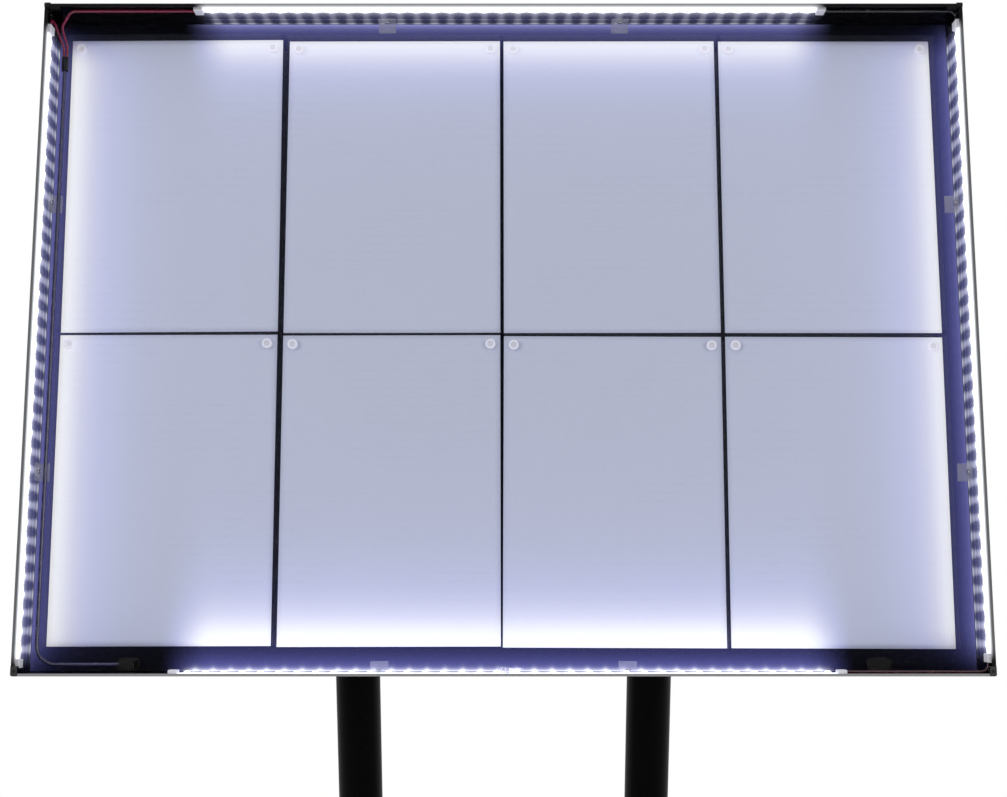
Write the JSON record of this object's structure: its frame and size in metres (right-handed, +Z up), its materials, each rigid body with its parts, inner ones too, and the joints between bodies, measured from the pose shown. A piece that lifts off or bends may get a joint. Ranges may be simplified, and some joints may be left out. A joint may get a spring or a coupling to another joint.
{
  "type": "information display case",
  "caption": "Lit magnetic notice case with a top-hung clear door and a quarter-turn lock, leaning back on round posts bolted to a floor plate.",
  "frame": {"origin": "on the floor under the middle of the base plate", "axes": "+X to the right of a reader in front of the case, -Y towards the reader, +Z up"},
  "size_m": [0.89, 0.42, 1.5037],
  "materials": {
    "case_paint": "gloss black powder coat",
    "panel_paint": "satin black powder coat on magnetic sheet",
    "door_paint": "satin black anodised rails",
    "stand_paint": "satin black powder coat",
    "pane_clear": "clear polished",
    "clear_plastic": "clear moulded",
    "seal_rubber": "matt",
    "corner_plastic": "fine grain",
    "entry_plastic": "fine grain",
    "strip_board": "white flexible board",
    "led_light": "cool white light chip",
    "cap_white": "white silicone",
    "feed_jacket": "grey cable jacket",
    "wire_red": "dark red wire jacket",
    "wire_black": "black wire jacket",
    "splice_sleeve": "shrink sleeve",
    "sheet_paper": "plain uncoated",
    "magnet_white": "white moulded",
    "magnet_core": "plated",
    "bright_steel": "zinc plated",
    "lock_body": "black plated",
    "lock_steel": "nickel plated"
  },
  "bodies": {
    "case": {"case_top_wall": "case_paint", "case_bottom_wall": "case_paint", "case_left_wall": "case_paint", "case_right_wall": "case_paint", "back_panel": "panel_paint", "panel_clips": "clear_plastic", "clip_screws": "bright_steel", "cable_entry": "entry_plastic", "blank_plug": "entry_plastic", "led_strip_top": "strip_board", "led_strip_bottom": "strip_board", "led_strip_left": "strip_board", "led_strip_right": "strip_board", "led_chips": "led_light", "strip_end_caps": "cap_white", "feed_cable": "feed_jacket", "feed_splice": "splice_sleeve", "feed_wire": "wire_red", "left_link_wire": "wire_red", "right_link_wire": "wire_black", "bottom_link_wire": "wire_red", "magnet_housings": "magnet_white", "magnet_cores": "magnet_core", "hinge_ear_left": "case_paint", "hinge_ear_right": "case_paint", "hinge_pins": "bright_steel", "ear_rivets": "bright_steel", "door_seals": "seal_rubber", "lock_housing": "lock_body", "lock_nut": "lock_steel", "mounting_bar_left": "stand_paint", "mounting_bar_right": "stand_paint", "bar_screws": "bright_steel", "post_left": "stand_paint", "post_right": "stand_paint", "foot_flange_left": "stand_paint", "foot_flange_right": "stand_paint", "foot_bolts": "bright_steel", "base_plate": "stand_paint", "info_sheet_1": "sheet_paper", "info_sheet_2": "sheet_paper", "info_sheet_3": "sheet_paper", "info_sheet_4": "sheet_paper", "info_sheet_5": "sheet_paper", "info_sheet_6": "sheet_paper", "info_sheet_7": "sheet_paper", "info_sheet_8": "sheet_paper"},
    "door": {"door_top_rail": "door_paint", "door_bottom_rail": "door_paint", "door_rail_left": "door_paint", "door_rail_right": "door_paint", "door_pane": "pane_clear", "door_hinge_blocks": "door_paint", "door_corner_caps": "corner_plastic", "cap_screws": "bright_steel", "lock_keeper": "clear_plastic"},
    "lock": {"lock_plug": "lock_steel", "lock_cam": "lock_steel", "cam_screw": "bright_steel"}
  },
  "joints": [
    {"name": "door_hinge", "type": "hinge", "parent": "case", "child": "door", "pos_m": [0, 0.12195, 1.50046], "axis": [-1, 0, 0], "range_deg": [0, 105]},
    {"name": "lock_turn", "type": "hinge", "parent": "case", "child": "lock", "pos_m": [0, -0.06624, 0.8881], "axis": [0, 0.342, 0.9397], "range_deg": [-90, 0]}
  ]
}
